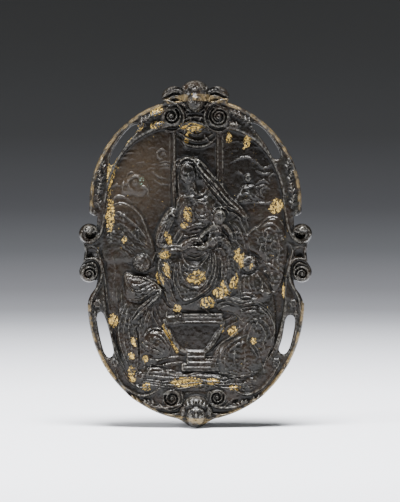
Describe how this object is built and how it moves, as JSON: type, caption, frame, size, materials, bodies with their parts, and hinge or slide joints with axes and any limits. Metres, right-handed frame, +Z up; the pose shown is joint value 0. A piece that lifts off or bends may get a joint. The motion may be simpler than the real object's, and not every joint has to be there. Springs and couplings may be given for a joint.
{
  "type": "bronze plaque",
  "caption": "Oval cast bronze relief plaque with a scrolled strapwork frame, a cherub crest and a seated woman with a child, made to be fixed to a wall.",
  "frame": {"origin": "on the flat back rim, in the middle, behind the two top scrolls", "axes": "+Z up, +Y into the wall, front of the relief facing -Y, +X to the viewer's right"},
  "size_m": [0.1342, 0.0166, 0.2],
  "materials": {
    "patinated_bronze": "dark brown patina with worn remains of gilding"
  },
  "bodies": {
    "root": {"plaque": "patinated_bronze"}
  },
  "joints": []
}
